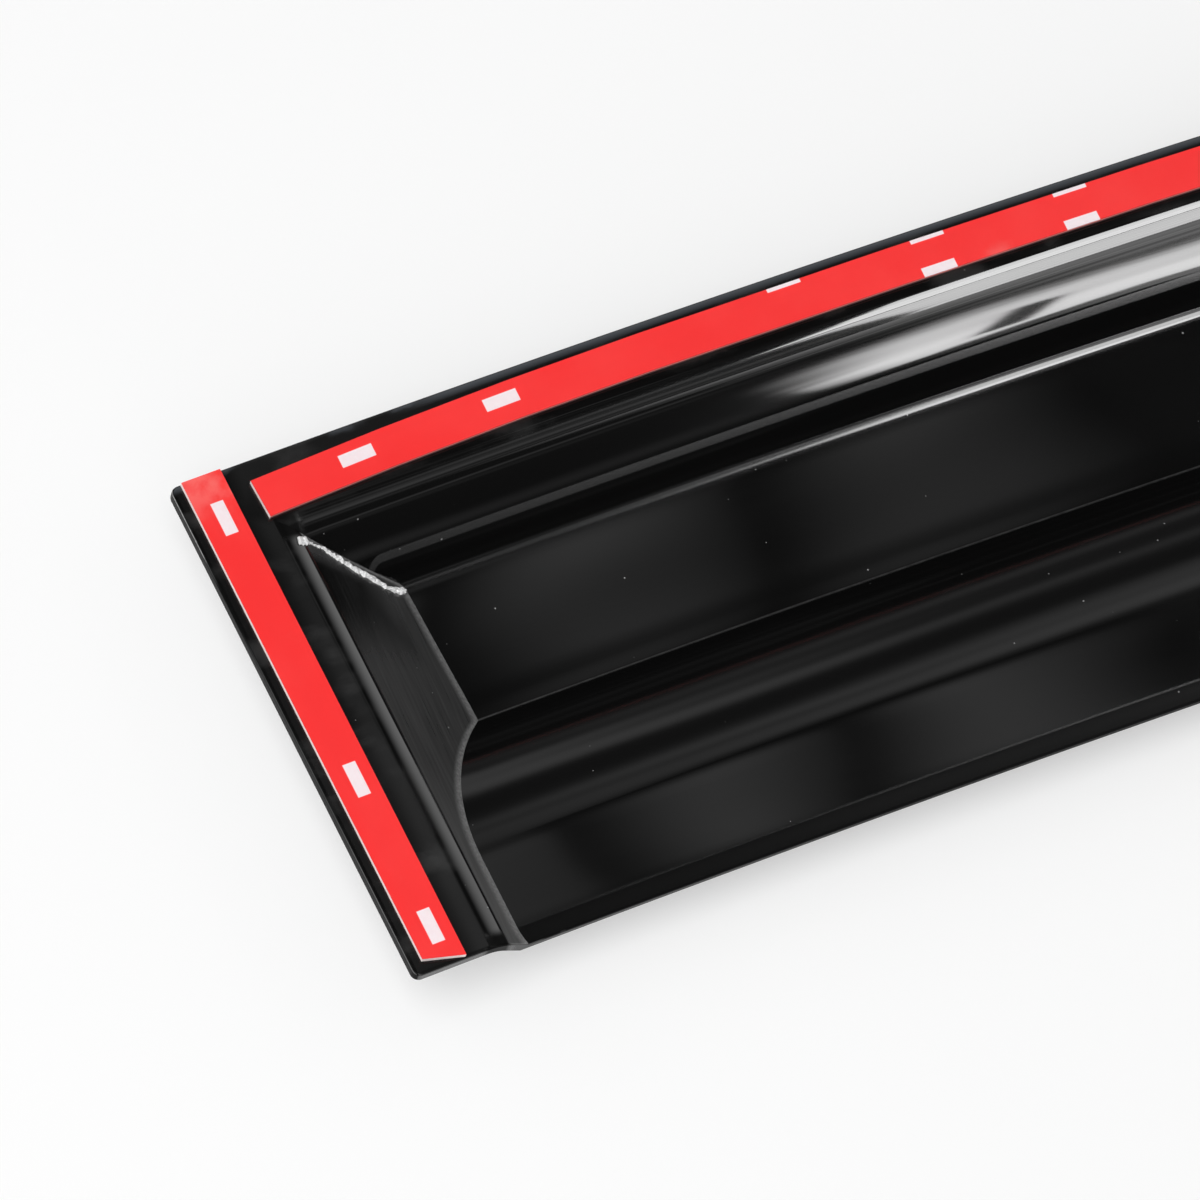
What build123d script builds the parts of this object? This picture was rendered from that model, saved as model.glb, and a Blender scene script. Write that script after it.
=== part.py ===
from build123d import *
import math
import os

# Window rain deflector lying on its outer face, with the tape side up.
# X runs along its length and +Y is the upper edge. The origin is on the floor, under the middle of the part.

# Overall sizes of the moulding, in millimetres
LENGTH = 720.0
WIDTH = 98.6
ARCH_RADIUS = 5000.0
WALL = 2.0
CORNER_RADIUS = 1.5
EDGE_RADIUS = 0.4

# Section across the visor, from the upper edge to the lower edge
FLANGE_WIDTH = 14.65
VALLEY_DEPTH = 15.4
UPPER_WALL_ANGLE = 54.0
BAND_WIDTH = 27.5
CREST_DEPTH = 16.4
RISE_WIDTH = 28.0
SKIRT_DEPTH = 4.3
LIP_WIDTH = 3.5
LIP_DROP = 0.6

# Closed ends, measured from the end edge inwards
END_FLANGE_WIDTH = 16.4
END_WALL_ANGLE = 39.0

# Bends, each given by the radius on the inside of the bend
SHOULDER_RADIUS = 5.0
END_SHOULDER_RADIUS = 6.0
SHOULDER_CREASE = 6.0
VALLEY_RADIUS = 2.0
CREST_RADIUS = 0.8

# Foam tape and its peel-off film
TAPE_WIDTH = 7.4
FOAM_THICKNESS = 0.95
LINER_THICKNESS = 0.15
TOP_TAPE_MARGIN = 2.4
TOP_TAPE_GAP = 4.25
TOP_TAPE_BEND_LENGTH = 75.0
TOP_TAPE_BEND_RADIUS = 1200.0
END_TAPE_UPPER_MARGIN = 2.1
END_TAPE_LOWER_MARGIN = 2.2
END_TAPE_UPPER_INSET = 0.2
END_TAPE_LOWER_INSET = 0.3
END_TAPE_CUT_SLANT = 2.0

# How far a cutting shape reaches past what it cuts
CUT_REACH = 6.0

# The arch: half of its opening angle, and the turn that centres it on +Y
HALF_ARCH = math.degrees(math.asin(LENGTH / 2 / ARCH_RADIUS))
CENTRE_TURN = Rot(0, 0, 90 - HALF_ARCH)
SECTION_PLANE = Plane(origin=(ARCH_RADIUS, 0, 0), x_dir=(-1, 0, 0), z_dir=(0, 1, 0))


def polar(centre, radius, lean):
    """Point on a circle, where lean is the angle from straight up towards +x, in degrees."""
    turn = math.radians(lean)
    return Vector(centre.X + radius * math.sin(turn), centre.Y + radius * math.cos(turn))


def lean_arc(centre, radius, first, last):
    """Arc between two leans of the same circle."""
    return CenterArc(centre, radius, 90 - first, first - last)


def downhill(angle):
    """Direction of a surface that falls at angle, in degrees, as it leaves the edge."""
    return Vector(math.cos(math.radians(angle)), -math.sin(math.radians(angle)))


def outward(angle):
    """Direction through the sheet, away from the tape side, under such a surface."""
    return Vector(-math.sin(math.radians(angle)), -math.cos(math.radians(angle)))


def crown_radius(width, rise):
    """Radius of the arc that is level at one end and drops by rise over width."""
    return (width**2 + rise**2) / (2 * rise)


def shoulder(corner, angle, bend_radius, depth):
    """Bend from the flange down into a wall, on the surface that lies depth below the tape side.

    Gives the edge's start on the flange, the arc, and the point where the wall goes on.
    """
    outer = bend_radius + WALL
    level = outer * math.cos(math.radians(SHOULDER_CREASE))
    slope = math.radians(angle)
    centre = Vector(corner + level / math.tan(slope) - outer / math.sin(slope), -level)
    radius = outer - depth
    crease = math.degrees(math.acos((level - depth) / radius))
    arc = lean_arc(centre, radius, crease, angle)
    return polar(centre, radius, crease), arc, polar(centre, radius, angle)


def rounded(face, point, radius):
    """The face with its corner nearest to point rounded."""
    corner = face.vertices().sort_by_distance(point)[0]
    return fillet(corner, radius)


def channel_region(depth, top, reach, lip_drop):
    """Region of the section above the surface that lies depth below the tape side."""
    start, bend, wall_top = shoulder(FLANGE_WIDTH, UPPER_WALL_ANGLE, SHOULDER_RADIUS, depth)
    band_angle = math.degrees(math.atan2(CREST_DEPTH - VALLEY_DEPTH, BAND_WIDTH))
    wall_side, band_side = outward(UPPER_WALL_ANGLE), outward(band_angle)
    wall_run = VALLEY_DEPTH / math.tan(math.radians(UPPER_WALL_ANGLE))
    sharp_valley = Vector(FLANGE_WIDTH + wall_run, -VALLEY_DEPTH)
    valley = sharp_valley + (wall_side + band_side) * (depth / (1 + wall_side.dot(band_side)))

    # The rise is an arc that leaves the band at the crest and runs level into the skirt
    sharp_crest = Vector(sharp_valley.X + BAND_WIDTH, -CREST_DEPTH)
    rise_radius = crown_radius(RISE_WIDTH, CREST_DEPTH - SKIRT_DEPTH)
    rise_centre = Vector(sharp_crest.X + RISE_WIDTH, -SKIRT_DEPTH - rise_radius)
    to_centre = rise_centre - sharp_crest
    half_chord = math.sqrt((rise_radius - depth)**2 - (to_centre.dot(band_side) - depth)**2)
    along = to_centre.dot(downhill(band_angle)) - half_chord
    crest = sharp_crest + downhill(band_angle) * along + band_side * depth
    crest_lean = math.degrees(math.atan2(crest.X - rise_centre.X, crest.Y - rise_centre.Y))

    skirt_start = polar(rise_centre, rise_radius - depth, 0)
    skirt_end = Vector(WIDTH - LIP_WIDTH, skirt_start.Y)
    lip_end = Vector(WIDTH, skirt_end.Y - lip_drop)
    far_end = Vector(WIDTH + reach, lip_end.Y)
    edges = [bend, Line(wall_top, valley), Line(valley, crest)]
    edges.append(lean_arc(rise_centre, rise_radius - depth, crest_lean, 0))
    edges.append(Line(skirt_start, skirt_end))
    if lip_drop > 0:
        lip_radius = crown_radius(LIP_WIDTH, lip_drop)
        lip_lean = math.degrees(math.asin(LIP_WIDTH / lip_radius))
        edges.append(lean_arc(skirt_end - Vector(0, lip_radius), lip_radius, 0, lip_lean))
    else:
        edges.append(Line(skirt_end, lip_end))
    if reach > 0:
        edges.append(Line(lip_end, far_end))
    edges.append(Polyline(far_end, (far_end.X, top), (start.X, top), start))
    face = make_face(edges)
    face = rounded(face, valley, VALLEY_RADIUS + depth)
    return rounded(face, crest, CREST_RADIUS + depth)


def arched(face):
    """A section swept round the arch, from end to end."""
    return CENTRE_TURN * revolve(SECTION_PLANE * face, Axis.Z, 2 * HALF_ARCH)


def left_end_plane():
    """Plane at the left end edge: x runs into the part, y is up and the normal points to the lower edge."""
    turn = math.radians(HALF_ARCH)
    corner = (-ARCH_RADIUS * math.sin(turn), ARCH_RADIUS * math.cos(turn), 0)
    return Plane(origin=corner, x_dir=(math.cos(turn), math.sin(turn), 0),
                 z_dir=(math.sin(turn), -math.cos(turn), 0))


def both_ends(left):
    """A left-end shape together with its mirror image at the right end."""
    return left, mirror(left, about=Plane.YZ)


def end_block(depth):
    """Material under the surface of a closed end that lies depth below the tape side."""
    start, bend, wall_top = shoulder(END_FLANGE_WIDTH, END_WALL_ANGLE, END_SHOULDER_RADIUS, depth)
    foot_level = -CREST_DEPTH - WALL - CUT_REACH
    wall_length = (wall_top.Y - foot_level) / math.sin(math.radians(END_WALL_ANGLE))
    foot = wall_top + downhill(END_WALL_ANGLE) * wall_length
    outside = -CUT_REACH
    edges = [bend, Line(wall_top, foot)]
    edges.append(Polyline(foot, (outside, foot_level), (outside, CUT_REACH), (start.X, CUT_REACH), start))
    plane = left_end_plane().offset(-CUT_REACH)
    return extrude(plane * make_face(edges), WIDTH + 2 * CUT_REACH)


def flange_plate():
    """The flat sheet at flange level, over the whole outline, with softened edges."""
    face = Pos(WIDTH / 2, -WALL / 2) * Rectangle(WIDTH, WALL)
    plate = arched(face)
    plate = fillet(plate.edges().filter_by(Axis.Z), CORNER_RADIUS)
    return fillet(plate.faces().sort_by(Axis.Z)[-1].edges(), EDGE_RADIUS)


def trough(depth, top, reach, lip_drop):
    """The channel closed off by the two sloping end walls."""
    solid = arched(channel_region(depth, top, reach, lip_drop))
    for block in both_ends(end_block(depth)):
        solid -= block
    return solid


def visor_body():
    """The moulded sheet: a flange plate with the outer trough added and the inner trough taken out."""
    outer = trough(WALL, 0, 0, 0)
    inner = trough(0, CUT_REACH, CUT_REACH, LIP_DROP)
    return flange_plate() + outer - inner


def strip_sector(centre, radius, first, last):
    """Flat ring sector of the tape's width about centre, between two leans."""
    inner, outer = radius - TAPE_WIDTH / 2, radius + TAPE_WIDTH / 2
    edges = [lean_arc(centre, inner, first, last), lean_arc(centre, outer, first, last)]
    edges += [Line(polar(centre, inner, lean), polar(centre, outer, lean)) for lean in (first, last)]
    return make_face(edges)


def top_tape_outline():
    """Strip along the upper flange, which turns in a little towards both of its ends."""
    radius = ARCH_RADIUS - TOP_TAPE_MARGIN - TAPE_WIDTH / 2
    end_room = END_TAPE_UPPER_MARGIN + TAPE_WIDTH + TOP_TAPE_GAP
    straight_room = end_room + TOP_TAPE_BEND_LENGTH
    lean = HALF_ARCH - math.degrees(straight_room / ARCH_RADIUS)
    bend = math.degrees(TOP_TAPE_BEND_LENGTH / TOP_TAPE_BEND_RADIUS)
    outline = strip_sector(Vector(0, 0), radius, -lean, lean)
    for side in (-1, 1):
        centre = polar(Vector(0, 0), radius - TOP_TAPE_BEND_RADIUS, side * lean)
        first, last = sorted((side * lean, side * (lean + bend)))
        outline += strip_sector(centre, TOP_TAPE_BEND_RADIUS, first, last)
    return outline


def left_end_tape_outline():
    """Strip down the left end flange, cut off aslant at its lower end."""
    upper, lower = END_TAPE_UPPER_INSET, WIDTH - END_TAPE_LOWER_INSET
    corners = [(END_TAPE_UPPER_MARGIN, upper),
               (END_TAPE_UPPER_MARGIN + TAPE_WIDTH, upper),
               (END_TAPE_LOWER_MARGIN + TAPE_WIDTH, lower),
               (END_TAPE_LOWER_MARGIN, lower - END_TAPE_CUT_SLANT)]
    end = left_end_plane()
    points = [end.origin + end.x_dir * along + end.z_dir * across for along, across in corners]
    return make_face(Polyline(*points, close=True))


def tape(outline):
    """Foam and peel-off film of one strip, lying on the flange."""
    foam = extrude(outline, FOAM_THICKNESS, dir=(0, 0, 1))
    liner = extrude(Pos(0, 0, FOAM_THICKNESS) * outline, LINER_THICKNESS, dir=(0, 0, 1))
    return foam, liner


def build():
    """All pieces by name, with the origin under the middle of the moulding."""
    pieces = {"visor_body": visor_body()}
    pieces["top_tape_foam"], pieces["top_tape_liner"] = tape(top_tape_outline())
    for side, outline in zip(("left", "right"), both_ends(left_end_tape_outline())):
        pieces[f"{side}_end_tape_foam"], pieces[f"{side}_end_tape_liner"] = tape(outline)
    box = pieces["visor_body"].bounding_box()
    place = Pos(-box.center().X, -box.center().Y, -box.min.Z)
    return {name: place * piece for name, piece in pieces.items()}


os.makedirs("parts", exist_ok=True)
for name, piece in build().items():
    export_step(piece, f"parts/{name}.step")
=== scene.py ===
import bpy
import bmesh
import math
from mathutils import Matrix, Vector, noise
from types import SimpleNamespace


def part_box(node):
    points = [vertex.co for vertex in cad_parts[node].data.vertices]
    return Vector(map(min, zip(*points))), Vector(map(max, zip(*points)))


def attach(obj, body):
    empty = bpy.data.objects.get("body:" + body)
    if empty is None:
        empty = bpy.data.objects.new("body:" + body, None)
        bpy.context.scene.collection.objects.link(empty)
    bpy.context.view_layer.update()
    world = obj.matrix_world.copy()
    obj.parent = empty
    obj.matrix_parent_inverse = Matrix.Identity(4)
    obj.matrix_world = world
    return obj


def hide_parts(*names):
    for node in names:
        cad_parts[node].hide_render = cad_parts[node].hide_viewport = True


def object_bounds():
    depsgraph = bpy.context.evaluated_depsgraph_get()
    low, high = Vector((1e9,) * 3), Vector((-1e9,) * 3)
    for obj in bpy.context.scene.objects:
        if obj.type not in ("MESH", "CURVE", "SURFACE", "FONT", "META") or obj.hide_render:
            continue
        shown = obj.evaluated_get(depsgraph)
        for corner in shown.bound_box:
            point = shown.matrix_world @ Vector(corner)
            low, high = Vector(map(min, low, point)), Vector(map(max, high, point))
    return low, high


# Looks of the window rain deflector, which lies on its outer face with the tape side up.
# Lengths are in metres. X runs along the part, with the photographed end at -X, and +Y is its upper edge.

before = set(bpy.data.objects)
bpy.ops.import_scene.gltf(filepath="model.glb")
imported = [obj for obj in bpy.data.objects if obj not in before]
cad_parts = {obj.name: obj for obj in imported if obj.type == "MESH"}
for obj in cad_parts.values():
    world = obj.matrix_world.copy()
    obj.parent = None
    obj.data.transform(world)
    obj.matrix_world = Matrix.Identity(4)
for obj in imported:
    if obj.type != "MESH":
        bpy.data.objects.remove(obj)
cad_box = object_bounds()

MM = 0.001

# Sizes of the moulding and its tapes, as in the part
LENGTH = 720.0 * MM
WIDTH = 98.6 * MM
ARCH_RADIUS = 5000.0 * MM
WALL = 2.0 * MM
CORNER_RADIUS = 1.5 * MM
EDGE_RADIUS = 0.4 * MM
FLANGE_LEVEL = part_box("top_tape_foam")[0].z
FLANGE_WIDTH = 14.65 * MM
VALLEY_DEPTH = 15.4 * MM
UPPER_WALL_ANGLE = math.radians(54.0)
BAND_WIDTH = 27.5 * MM
CREST_DEPTH = 16.4 * MM
RISE_WIDTH = 28.0 * MM
SKIRT_DEPTH = 4.3 * MM
LIP_WIDTH = 3.5 * MM
LIP_DROP = 0.6 * MM
SHOULDER_RADIUS = 7.0 * MM
END_FLANGE_WIDTH = 16.4 * MM
END_WALL_ANGLE = math.radians(39.0)
END_SHOULDER_RADIUS = 8.0 * MM
SHOULDER_CREASE = math.radians(6.0)
VALLEY_RADIUS = 2.0 * MM
CREST_RADIUS = 0.8 * MM
TAPE_WIDTH = 7.4 * MM
TOP_TAPE_MARGIN = 2.4 * MM
TOP_TAPE_INSET = 13.75 * MM
TOP_TAPE_BEND_LENGTH = 75.0 * MM
TOP_TAPE_BEND_RADIUS = 1200.0 * MM
END_TAPE_MIDDLE = 6.2 * MM
HALF_ARCH = math.asin(LENGTH / 2 / ARCH_RADIUS)
ARCH_CENTRE_Y = cad_box[1].y - ARCH_RADIUS

# Distances from the upper edge to the valley, the crest and the lower side of the top tape
VALLEY_RUN = FLANGE_WIDTH + VALLEY_DEPTH / math.tan(UPPER_WALL_ANGLE)
CREST_RUN = VALLEY_RUN + BAND_WIDTH
TOP_TAPE_SIDE = TOP_TAPE_MARGIN + TAPE_WIDTH

# Left end edge: its upper corner, and the directions into the part and down the edge
END_CORNER = Vector((-math.sin(HALF_ARCH), math.cos(HALF_ARCH), 0)) * ARCH_RADIUS
END_CORNER += Vector((0, ARCH_CENTRE_Y, 0))
END_INWARD = Vector((math.cos(HALF_ARCH), math.sin(HALF_ARCH), 0))
END_DOWN = Vector((math.sin(HALF_ARCH), -math.cos(HALF_ARCH), 0))

# Camera
VIEW_AIM = Vector((-296.2, 0.5, 18.4)) * MM
VIEW_BACK = Vector((-0.3016, -0.3496, 0.8870))
VIEW_UP = Vector((0.2696, 0.8611, 0.4311))
VIEW_DISTANCE = 2.0
VIEW_WIDTH = 206.2 * MM


class Paint:
    """One procedural material, with short calls for the nodes that it is made of."""

    def __init__(self, name):
        self.material = bpy.data.materials.new(name)
        self.material.use_nodes = True
        self.tree = self.material.node_tree
        self.shader = self.tree.nodes["Principled BSDF"]
        coordinates = self.tree.nodes.new("ShaderNodeTexCoord")
        self.place = coordinates.outputs["Object"]
        self.facing = coordinates.outputs["Normal"]

    def feed(self, socket, value):
        """Sets an input to a plain value, or links another node's output to it."""
        if isinstance(value, bpy.types.NodeSocket):
            self.tree.links.new(value, socket)
        else:
            socket.default_value = value

    def set(self, **inputs):
        """Sets or links inputs of the shader, named with underscores for spaces."""
        for name, value in inputs.items():
            self.feed(self.shader.inputs[name.replace("_", " ")], value)

    def axes(self, vector):
        """The three parts of a vector."""
        node = self.tree.nodes.new("ShaderNodeSeparateXYZ")
        self.feed(node.inputs[0], vector)
        return node.outputs

    def math(self, operation, first, second=0.0):
        """One sum on two values."""
        node = self.tree.nodes.new("ShaderNodeMath")
        node.operation = operation
        self.feed(node.inputs[0], first)
        self.feed(node.inputs[1], second)
        return node.outputs[0]

    def measure(self, operation, first, second):
        """One sum on two vectors that gives a number."""
        node = self.tree.nodes.new("ShaderNodeVectorMath")
        node.operation = operation
        self.feed(node.inputs[0], first)
        self.feed(node.inputs[1], second)
        return node.outputs["Value"]

    def step(self, value, low, high):
        """Soft step from 0 below low to 1 above high, or the other way round."""
        node = self.tree.nodes.new("ShaderNodeMapRange")
        node.interpolation_type = "SMOOTHSTEP"
        self.feed(node.inputs["Value"], value)
        node.inputs["From Min"].default_value = min(low, high)
        node.inputs["From Max"].default_value = max(low, high)
        node.inputs["To Min"].default_value = 0.0 if low < high else 1.0
        node.inputs["To Max"].default_value = 1.0 if low < high else 0.0
        return node.outputs["Result"]

    def within(self, value, middle, half, blur):
        """Mask of the values that lie within half of a middle value."""
        distance = self.math("ABSOLUTE", self.math("SUBTRACT", value, middle))
        return self.step(distance, half + blur, half - blur)

    def both(self, first, *others):
        """Mask of what lies in every one of some masks."""
        for other in others:
            first = self.math("MULTIPLY", first, other)
        return first

    def either(self, first, *others):
        """Mask of what lies in any of some masks."""
        for other in others:
            first = self.math("MAXIMUM", first, other)
        return first

    def stretched(self, stretch):
        """The place on the part, with each axis drawn out by its stretch."""
        node = self.tree.nodes.new("ShaderNodeMapping")
        self.feed(node.inputs["Vector"], self.place)
        node.inputs["Scale"].default_value = [1 / s for s in stretch]
        return node.outputs["Vector"]

    def noise(self, size, stretch=(1, 1, 1), detail=2.0):
        """Soft noise with lumps of about size."""
        node = self.tree.nodes.new("ShaderNodeTexNoise")
        self.feed(node.inputs["Vector"], self.stretched(stretch))
        node.inputs["Scale"].default_value = 1 / size
        node.inputs["Detail"].default_value = detail
        return node.outputs["Fac"]

    def cells(self, size):
        """Cells of about size: the distance from each cell's middle, and a random number for each cell."""
        node = self.tree.nodes.new("ShaderNodeTexVoronoi")
        self.feed(node.inputs["Vector"], self.place)
        node.inputs["Scale"].default_value = 1 / size
        return node.outputs["Distance"], self.axes(node.outputs["Color"])[0]

    def blend(self, factor, first, second):
        """Value between two values."""
        node = self.tree.nodes.new("ShaderNodeMix")
        self.feed(node.inputs[0], factor)
        self.feed(node.inputs[2], first)
        self.feed(node.inputs[3], second)
        return node.outputs[0]

    def tint(self, factor, first, second):
        """Colour between two colours."""
        node = self.tree.nodes.new("ShaderNodeMix")
        node.data_type = "RGBA"
        self.feed(node.inputs[0], factor)
        for socket, colour in zip(node.inputs[6:8], (first, second)):
            self.feed(socket, colour if isinstance(colour, bpy.types.NodeSocket) else (*colour, 1.0))
        return node.outputs[2]

    def attribute(self, name):
        """Value that the mesh carries at each of its points."""
        node = self.tree.nodes.new("ShaderNodeAttribute")
        node.attribute_name = name
        return node.outputs["Fac"]

    def bump(self, height, depth, under=None):
        """Surface relief: a height from 0 to 1 that stands for depth."""
        node = self.tree.nodes.new("ShaderNodeBump")
        self.feed(node.inputs["Height"], height)
        node.inputs["Distance"].default_value = depth
        if under is not None:
            self.feed(node.inputs["Normal"], under)
        return node.outputs["Normal"]

    def from_arch(self):
        """Distance to the side of the part's middle, and reach from the arch's centre."""
        place = self.axes(self.place)
        return self.math("ABSOLUTE", place[0]), self.math("SUBTRACT", place[1], ARCH_CENTRE_Y)

    def arch_run(self):
        """Distance along the arch, from its middle to either side."""
        side, reach = self.from_arch()
        return self.math("MULTIPLY", self.math("ARCTAN2", side, reach), ARCH_RADIUS)

    def edge_run(self):
        """Distance in from the arched upper edge."""
        squares = [self.math("POWER", distance, 2.0) for distance in self.from_arch()]
        return self.math("SUBTRACT", ARCH_RADIUS, self.math("SQRT", self.math("ADD", *squares)))

    def from_end(self, direction):
        """Distance from the upper corner of the nearer end, in a direction given for the left end."""
        mirror = self.tree.nodes.new("ShaderNodeCombineXYZ")
        place = self.axes(self.place)
        self.feed(mirror.inputs[0], self.math("MULTIPLY", self.math("ABSOLUTE", place[0]), -1.0))
        self.feed(mirror.inputs[1], place[1])
        run = self.measure("DOT_PRODUCT", mirror.outputs[0], direction)
        return self.math("SUBTRACT", run, END_CORNER.dot(direction))

    def end_run(self):
        """Distance in from the nearer end edge."""
        return self.from_end(END_INWARD)

    def end_drop(self):
        """Distance down the nearer end edge, from its upper corner."""
        return self.from_end(END_DOWN)


def grey(level):
    """Neutral colour."""
    return (level, level, level)


# Materials. A pair of values named as a step gives where its mask begins and where it is full.

# Dust: cell sizes with the share of cells that hold a speck, and the specks in shares of a cell
DUST_SIZES = ((3.0 * MM, 0.035), (1.7 * MM, 0.03))
DUST_SPECK_STEP = (0.075, 0.03)
DUST_PATCH = 35.0 * MM
DUST_PATCH_STEP = (0.42, 0.68)
DUST_TONE = grey(0.22)


def dust_mask(paint, size, share):
    """Specks in some of the cells of a size, most of them in patches."""
    distance, pick = paint.cells(size)
    patches = paint.step(paint.noise(DUST_PATCH), *DUST_PATCH_STEP)
    chance = paint.math("ADD", pick, paint.math("MULTIPLY", patches, 2 * share))
    chosen = paint.step(chance, 1 - share, 1 - share / 2)
    return paint.both(paint.step(distance, *DUST_SPECK_STEP), chosen)


# Painted reflection: a faint grey line along the upper wall, drawn into the colour
LINE_RUN = 21.8 * MM
LINE_START = 29.0 * MM
LINE_TURN = 3.0 * MM
LINE_HALF = 0.5 * MM
LINE_BLUR = 0.1 * MM
LINE_WALL_STEP = (-0.55, -0.7)
REFLECTION_LINE_TONE = grey(0.018)


def painted_reflection_line(paint, normal_y):
    """Mask of the painted reflection line along the upper wall, which turns down to its foot near each end.
    """
    past_line = paint.math("SUBTRACT", LINE_TURN + LINE_RUN, paint.edge_run())
    past_end = paint.math("SUBTRACT", LINE_TURN + LINE_START, paint.end_run())
    squares = [paint.math("POWER", paint.math("MAXIMUM", past, 0.0), 2.0) for past in (past_line, past_end)]
    distance = paint.math("SQRT", paint.math("ADD", *squares))
    on_wall = paint.step(normal_y, *LINE_WALL_STEP)
    return paint.both(paint.within(distance, LINE_TURN, LINE_HALF, LINE_BLUR), on_wall)


# Dull places: the lip, the end edges, and spots given by their distances in from and down an end edge
LIP_BLUR = 0.4 * MM
LIP_LEVEL_STEP = (0.10, 0.05)
LIP_END_STEP = (18.0 * MM, 20.0 * MM)
END_EDGE_STEP = (0.9 * MM, 0.6 * MM)
DULL_SPOTS = ((16.2 * MM, 13.6 * MM), (15.8 * MM, WIDTH))
DULL_BEND_STEP = (0.9999, 0.9990)
DULL_REACH = 2.6 * MM
DULL_BLUR = 0.9 * MM
DULL_ROUGHNESS = 0.3
DULL_SHINE = 0.02


def dull_places(paint, lean, normal_z):
    """Mask of the lip, the end edges, and the spots where an end's bend meets other bends."""
    inward, down = paint.end_run(), paint.end_drop()
    lip_start = WIDTH - LIP_WIDTH
    lip = paint.both(paint.step(paint.edge_run(), lip_start - LIP_BLUR, lip_start + LIP_BLUR),
                     paint.step(lean, *LIP_LEVEL_STEP), paint.step(inward, *LIP_END_STEP))
    dull = paint.either(lip, paint.step(inward, *END_EDGE_STEP))
    bent = paint.step(normal_z, *DULL_BEND_STEP)
    for spot_inward, spot_down in DULL_SPOTS:
        spot = paint.both(bent, paint.within(inward, spot_inward, DULL_REACH, DULL_BLUR),
                          paint.within(down, spot_down, DULL_REACH, DULL_BLUR))
        dull = paint.either(dull, spot)
    return dull


# Painted highlight: a light line along the crest, broken up by noise; and the duller strip of the band next
# to it
CREST_LINE_HALF = 0.22 * MM
CREST_LINE_BLUR = 0.1 * MM
CREST_END_STEP = (24.0 * MM, 27.0 * MM)
CREST_LEAN_STEP = (0.3, 0.2)
CREST_STRIP = 7.0 * MM
CREST_STRIP_BLUR = 0.3 * MM
CREST_STRIP_SHINE = 0.22
CREST_HIGHLIGHT_NOISE = 1.5 * MM
CREST_HIGHLIGHT_TONE = grey(0.045)


def crest_highlight_and_strip(paint, lean):
    """Masks of the painted highlight along the crest, and of the duller strip of the band next to it."""
    run = paint.edge_run()
    past_end = paint.both(paint.step(paint.end_run(), *CREST_END_STEP), paint.step(lean, *CREST_LEAN_STEP))
    line = paint.both(paint.within(run, CREST_RUN, CREST_LINE_HALF, CREST_LINE_BLUR), past_end)
    strip = paint.both(paint.step(run, CREST_RUN - CREST_STRIP, CREST_RUN - CREST_STRIP / 2),
                       paint.step(run, CREST_RUN, CREST_RUN - CREST_STRIP_BLUR), past_end)
    return line, strip


# Painted highlight: a paler bluish strip along the upper edge, broken into smeared patches near the ends
EDGE_PATCH = 9.0 * MM
EDGE_PATCH_STRETCH = (2, 1, 1)
EDGE_PATCH_STEP = (0.48, 0.60)
EDGE_EVEN_STEP = (40.0 * MM, 55.0 * MM)
EDGE_STEP = (1.9 * MM, 0.5 * MM)
EDGE_HIGHLIGHT_TONE = (0.060, 0.066, 0.074)


def painted_edge_highlight(paint):
    """Mask of the painted highlight along the upper edge, which is patchy near the ends."""
    lumps = paint.noise(EDGE_PATCH, stretch=EDGE_PATCH_STRETCH, detail=4)
    patches = paint.step(lumps, *EDGE_PATCH_STEP)
    even = paint.either(patches, paint.step(paint.end_run(), *EDGE_EVEN_STEP))
    return paint.both(paint.step(paint.edge_run(), *EDGE_STEP), even)


# Duller plastic beside the tapes: glue, and painted shade where the tapes shade the flange
GLUE_REACH = 3.5 * MM
GLUE_AND_SHADE_SHINE = 0.18


def tape_shade_and_glue(paint):
    """Mask of the flange along the sides of the tapes, dulled by glue and as painted shade next to the
    tapes.
    """
    run = paint.edge_run()
    end_tape_side = END_TAPE_MIDDLE + TAPE_WIDTH / 2
    below_top = paint.both(paint.step(run, TOP_TAPE_MARGIN, TOP_TAPE_SIDE),
                           paint.step(run, TOP_TAPE_SIDE + GLUE_REACH, TOP_TAPE_SIDE))
    return paint.either(below_top, paint.step(paint.end_run(), end_tape_side + GLUE_REACH, end_tape_side))


# Brushed closed ends, with steps in the part's Y or in the height over the end wall's foot. Their tones are
# painted shade and light: black at the top by the mitre, lighter grey lower down, and a painted highlight
# along the foot.
BRUSH_SIZE = 0.7 * MM
BRUSH_STRETCH = (1, 40, 1)
BRUSH_DEPTH = 0.02 * MM
LOW_END_STEP = (16.0 * MM, 0.0 * MM)
LOWEST_END_STEP = (-15.0 * MM, -50.0 * MM)
NEAR_FOOT_STEP = (8.0 * MM, 2.5 * MM)
FOOT_STEP = (1.6 * MM, 0.3 * MM)
FOOT_HIGHLIGHT_NOISE = 0.5 * MM
# Painted shade at the top of a closed end, painted lighter grey lower down, and a painted highlight along
# its foot
SHADED_END_TONE = grey(0.003)
BRUSHED_LIT_TONES = (grey(0.026), grey(0.070))
LOWEST_LIT_TONES = (grey(0.080), grey(0.130))
FOOT_HIGHLIGHT_TONE = grey(0.36)

# Parts of the moulding that have a finish of their own, told by how their surface faces
END_WALL_LEAN_STEP = (0.54, 0.61)
END_WALL_RISE_STEP = (0.3, 0.5)
RIM_STEP = (0.45, 0.2)
FLANGE_HEIGHT_STEP = (FLANGE_LEVEL - 0.5 * MM, FLANGE_LEVEL - 0.1 * MM)
FLANGE_FACING_STEP = (0.9, 0.99)


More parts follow.
